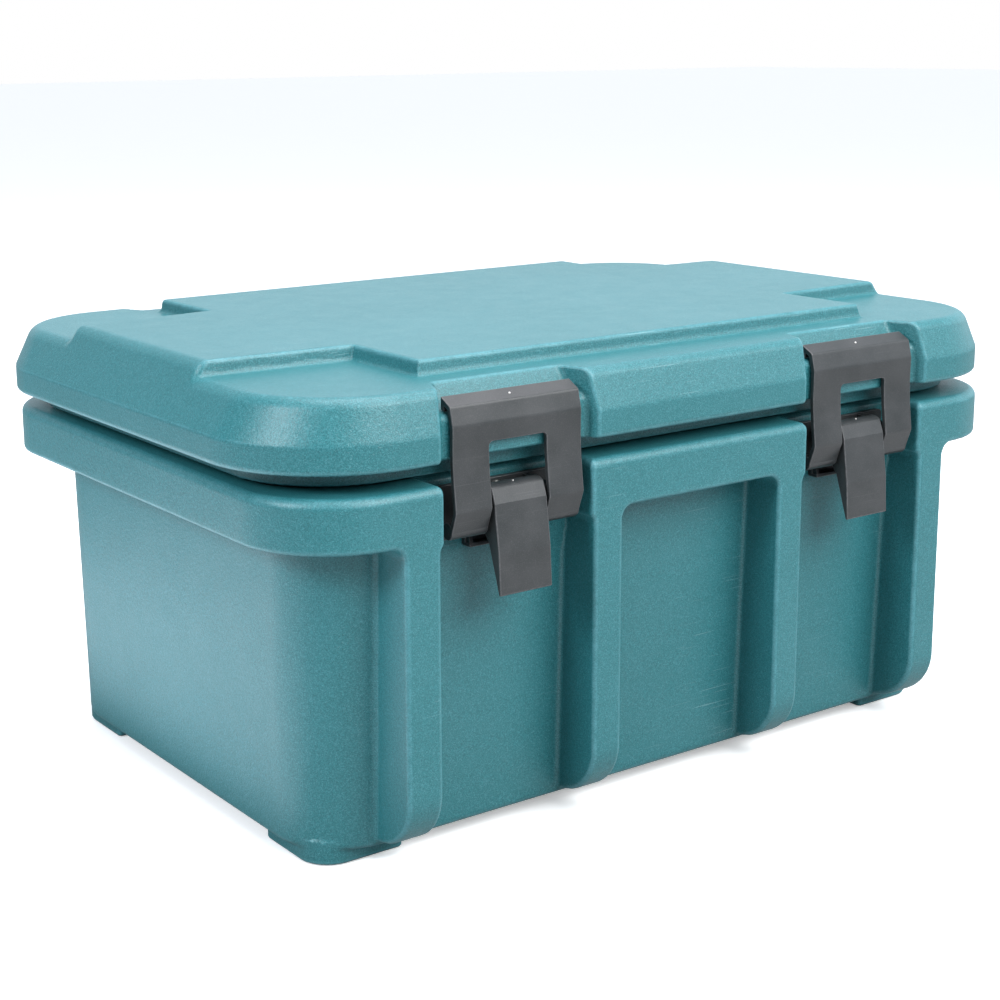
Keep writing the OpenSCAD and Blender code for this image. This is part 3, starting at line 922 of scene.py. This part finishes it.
# ---------------------------------------------------------------- camera, floor and light
CAMERA_AT = (-0.8204, -1.0857, 0.5041)
CAMERA_TURN = (-35.10, 12.03, -0.512)  # round the object, up, and roll, in degrees


def add_camera():
    cam = bpy.data.objects.new("camera", bpy.data.cameras.new("camera"))
    bpy.context.scene.collection.objects.link(cam)
    a, e, r = (math.radians(v) for v in CAMERA_TURN)
    right = Vector((math.cos(a), math.sin(a), 0))
    back = Vector((math.sin(a) * math.cos(e), -math.cos(a) * math.cos(e), math.sin(e)))
    up = back.cross(right)
    turned = right * math.cos(r) + up * math.sin(r)
    upright = up * math.cos(r) - right * math.sin(r)
    cam.matrix_world = Matrix(
        (
            (turned.x, upright.x, back.x, CAMERA_AT[0]),
            (turned.y, upright.y, back.y, CAMERA_AT[1]),
            (turned.z, upright.z, back.z, CAMERA_AT[2]),
            (0, 0, 0, 1),
        )
    )
    cam.data.lens, cam.data.sensor_width = 66.70, 36
    cam.data.shift_x, cam.data.shift_y = 0.0592, -0.0688
    cam.data.clip_start, cam.data.clip_end = 0.05, 50
    bpy.context.scene.camera = cam


def add_floor():
    bm = bmesh.new()
    bmesh.ops.create_grid(bm, x_segments=8, y_segments=8, size=20)
    floor = to_object(bm, "floor")
    made, tree, shader, place, _ = start_material("studio_floor", (0.9, 0.9, 0.9))
    patches = noise(tree, place, 3.0, 2.0)
    tone = blend_colour(tree, patches, srgb(246, 246, 246), srgb(250, 250, 250))
    tree.links.new(tone, shader.inputs["Base Color"])
    shader.inputs["Roughness"].default_value = 0.9
    shader.inputs["Emission Color"].default_value = (1, 1, 1, 1)
    shader.inputs["Emission Strength"].default_value = 0.35
    matt = put(tree, "ShaderNodeBsdfDiffuse", {"Color": (0.42, 0.42, 0.42, 1)})
    seen = put(tree, "ShaderNodeLightPath").outputs["Is Camera Ray"]
    either = put(tree, "ShaderNodeMixShader", {0: seen, 1: matt.outputs[0], 2: shader.outputs[0]})
    tree.links.new(either.outputs[0], tree.nodes["Material Output"].inputs[0])
    floor.data.materials.append(made)
    floor.location.z = -0.0005


def add_surroundings():
    """Dark to the near left, bright to the far right, with a soft crown; plain white behind."""
    world = bpy.data.worlds.new("soft studio")
    bpy.context.scene.world = world
    world.use_nodes = True
    tree = world.node_tree
    facing = put(tree, "ShaderNodeTexCoord").outputs["Generated"]
    height = put(tree, "ShaderNodeSeparateXYZ", {0: facing}).outputs["Z"]
    glows = []
    for toward, start, end, lo, hi in (
        ((0.83, 0.56, 0.0), -0.1, 0.8, 0.15, 1.3),
        ((0.80, -0.60, 0.0), 0.3, 0.95, 0.0, 0.65),
    ):
        along = put(tree, "ShaderNodeVectorMath", {0: facing, 1: toward}, operation="DOT_PRODUCT")
        glows.append(span(tree, along.outputs["Value"], start, end, lo, hi))
    low = math_node(tree, "ADD", *glows)
    crown = span(tree, height, 0.3, 0.75, 0.0, 1.0)
    strength = blend_value(tree, crown, low, 0.6)
    seen = put(tree, "ShaderNodeLightPath").outputs["Is Camera Ray"]
    bright = blend_value(tree, seen, strength, 1.0)
    tree.links.new(bright, tree.nodes["Background"].inputs[1])
    tint = blend_colour(tree, seen, (0.93, 1.0, 1.09, 1), (1, 1, 1, 1))
    tree.links.new(tint, tree.nodes["Background"].inputs[0])


LAMPS = (  # name, place, aimed at, sizes in metres, power, tone
    ("overhead", (0.2, -0.1, 2.3), (0, 0, 0.3), (1.8, 1.8), 52, (1.04, 0.99, 1.03)),
    ("front", (0.5, -2.0, 1.8), (0, 0, 0.2), (2.2, 1.6), 84, (1, 1, 1)),
    ("glint", (-1.8, -0.36, 1.18), (-0.3, -0.18, 0.28), (0.46, 0.46), 26, (0.95, 1, 1.06)),
    ("end_card", (-0.57, 0.2, 0.004), (-0.57, 0.2, 1.0), (0.5, 0.7), 2.0, (0.88, 1, 1.1)),
)


def add_lamps():
    for name, spot, aim, size, power, tone in LAMPS:
        lamp = bpy.data.lights.new(name, "AREA")
        lamp.shape = "RECTANGLE"
        lamp.energy, lamp.size, lamp.size_y, lamp.color = power, *size, tone
        lit = bpy.data.objects.new(name, lamp)
        bpy.context.scene.collection.objects.link(lit)
        lit.location = spot
        lit.rotation_euler = (Vector(aim) - Vector(spot)).to_track_quat("-Z", "Y").to_euler()
        lit.visible_camera = False


add_camera()
add_floor()
add_surroundings()
add_lamps()
bpy.context.scene.view_settings.view_transform = "Standard"
